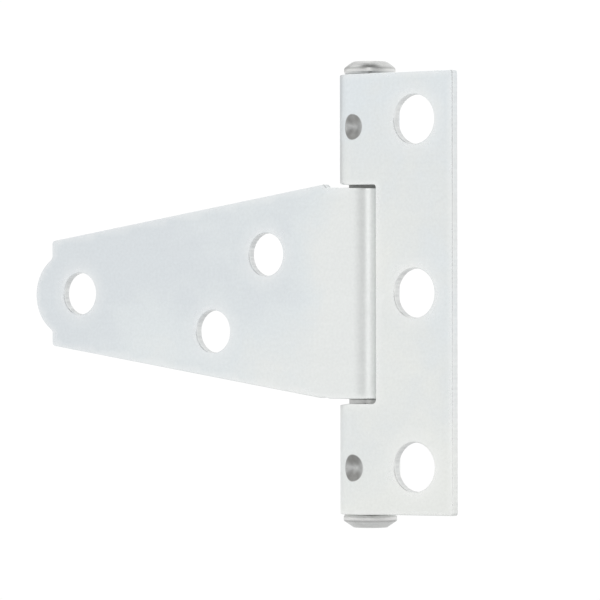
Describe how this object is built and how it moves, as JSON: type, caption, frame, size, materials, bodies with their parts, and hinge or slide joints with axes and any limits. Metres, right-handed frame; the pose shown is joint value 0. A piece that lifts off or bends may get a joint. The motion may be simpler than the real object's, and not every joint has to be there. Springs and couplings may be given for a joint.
{
  "type": "t hinge",
  "caption": "Sheet-steel T hinge: upright butt leaf and tapered strap leaf with rolled knuckles on a headed pin, punched for screws.",
  "frame": {"origin": "on the butt leaf's flush mounting face at mid height, 4.9 mm from the pin's axis, between the knuckle notch and the middle screw hole", "axes": "+Z along the pin, +X from the pin towards the butt leaf, -Y out of both leaves' flush mounting faces, with the rolled knuckles on the +Y side"},
  "size_m": [0.0657, 0.0073, 0.0566],
  "materials": {
    "butt_zinc": "bright zinc plate, satin, faintly blotched",
    "strap_zinc": "bright zinc plate, satin, faintly blotched",
    "pin_steel": "bright plated, formed heads"
  },
  "bodies": {
    "butt": {"butt_leaf": "butt_zinc", "hinge_pin": "pin_steel"},
    "strap": {"strap_leaf": "strap_zinc"}
  },
  "joints": [
    {"name": "strap_swing", "type": "hinge", "parent": "butt", "child": "strap", "pos_m": [-0.0049, 0.00365, 0], "axis": [0, 0, 1], "range_deg": [-190, 85]}
  ]
}
